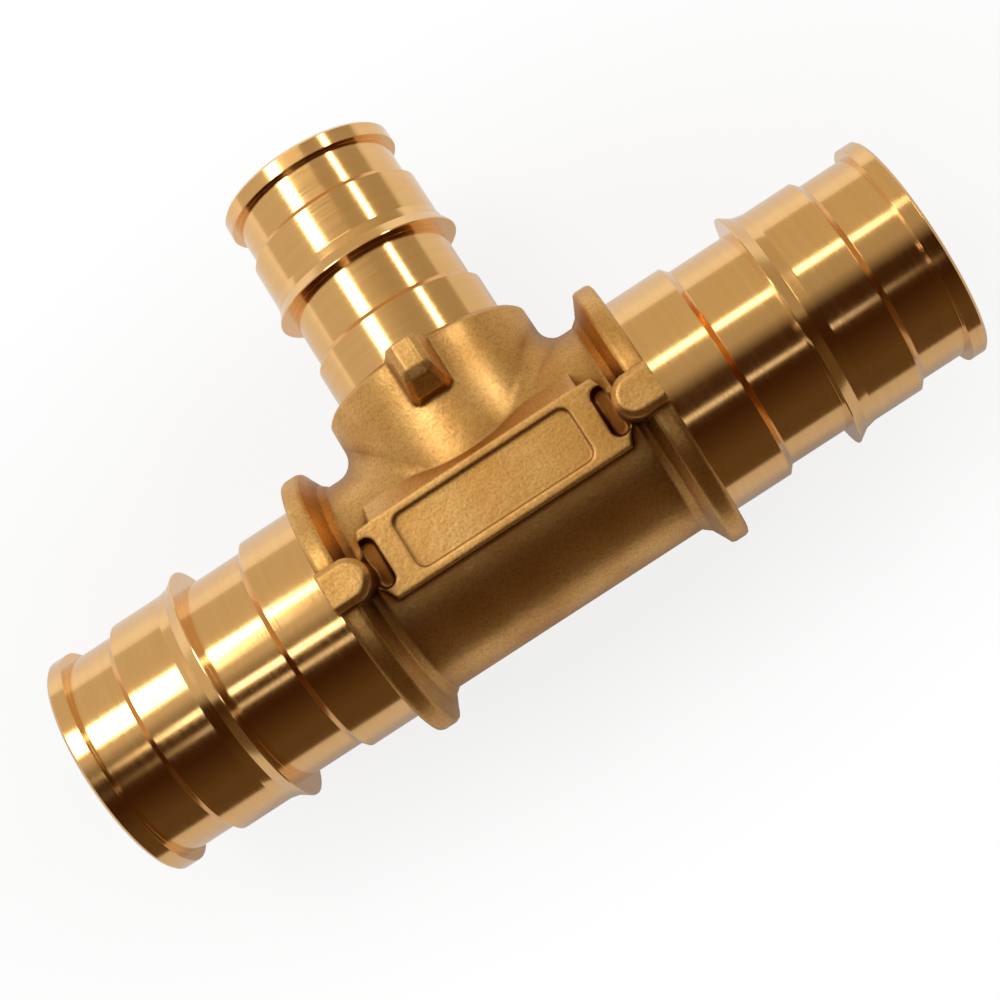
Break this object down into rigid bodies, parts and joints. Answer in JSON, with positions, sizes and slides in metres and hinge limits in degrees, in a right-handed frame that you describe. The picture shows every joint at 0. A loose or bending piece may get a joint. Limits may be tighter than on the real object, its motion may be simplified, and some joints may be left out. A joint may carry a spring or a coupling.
{
  "type": "pipe tee",
  "caption": "Forged brass pipe tee with ribbed spigots for cold-expansion plastic pipe, stop collars with nubs, and a smaller branch.",
  "frame": {"origin": "where the axis of the run meets the axis of the branch", "axes": "+X along the run, +Y out along the branch, +Z out of the shelf with the sunk panel"},
  "size_m": [0.0984, 0.0574, 0.0334],
  "materials": {
    "brass": "matte forged skin with turned and polished spigots"
  },
  "bodies": {
    "root": {"tee_body": "brass"}
  },
  "joints": []
}
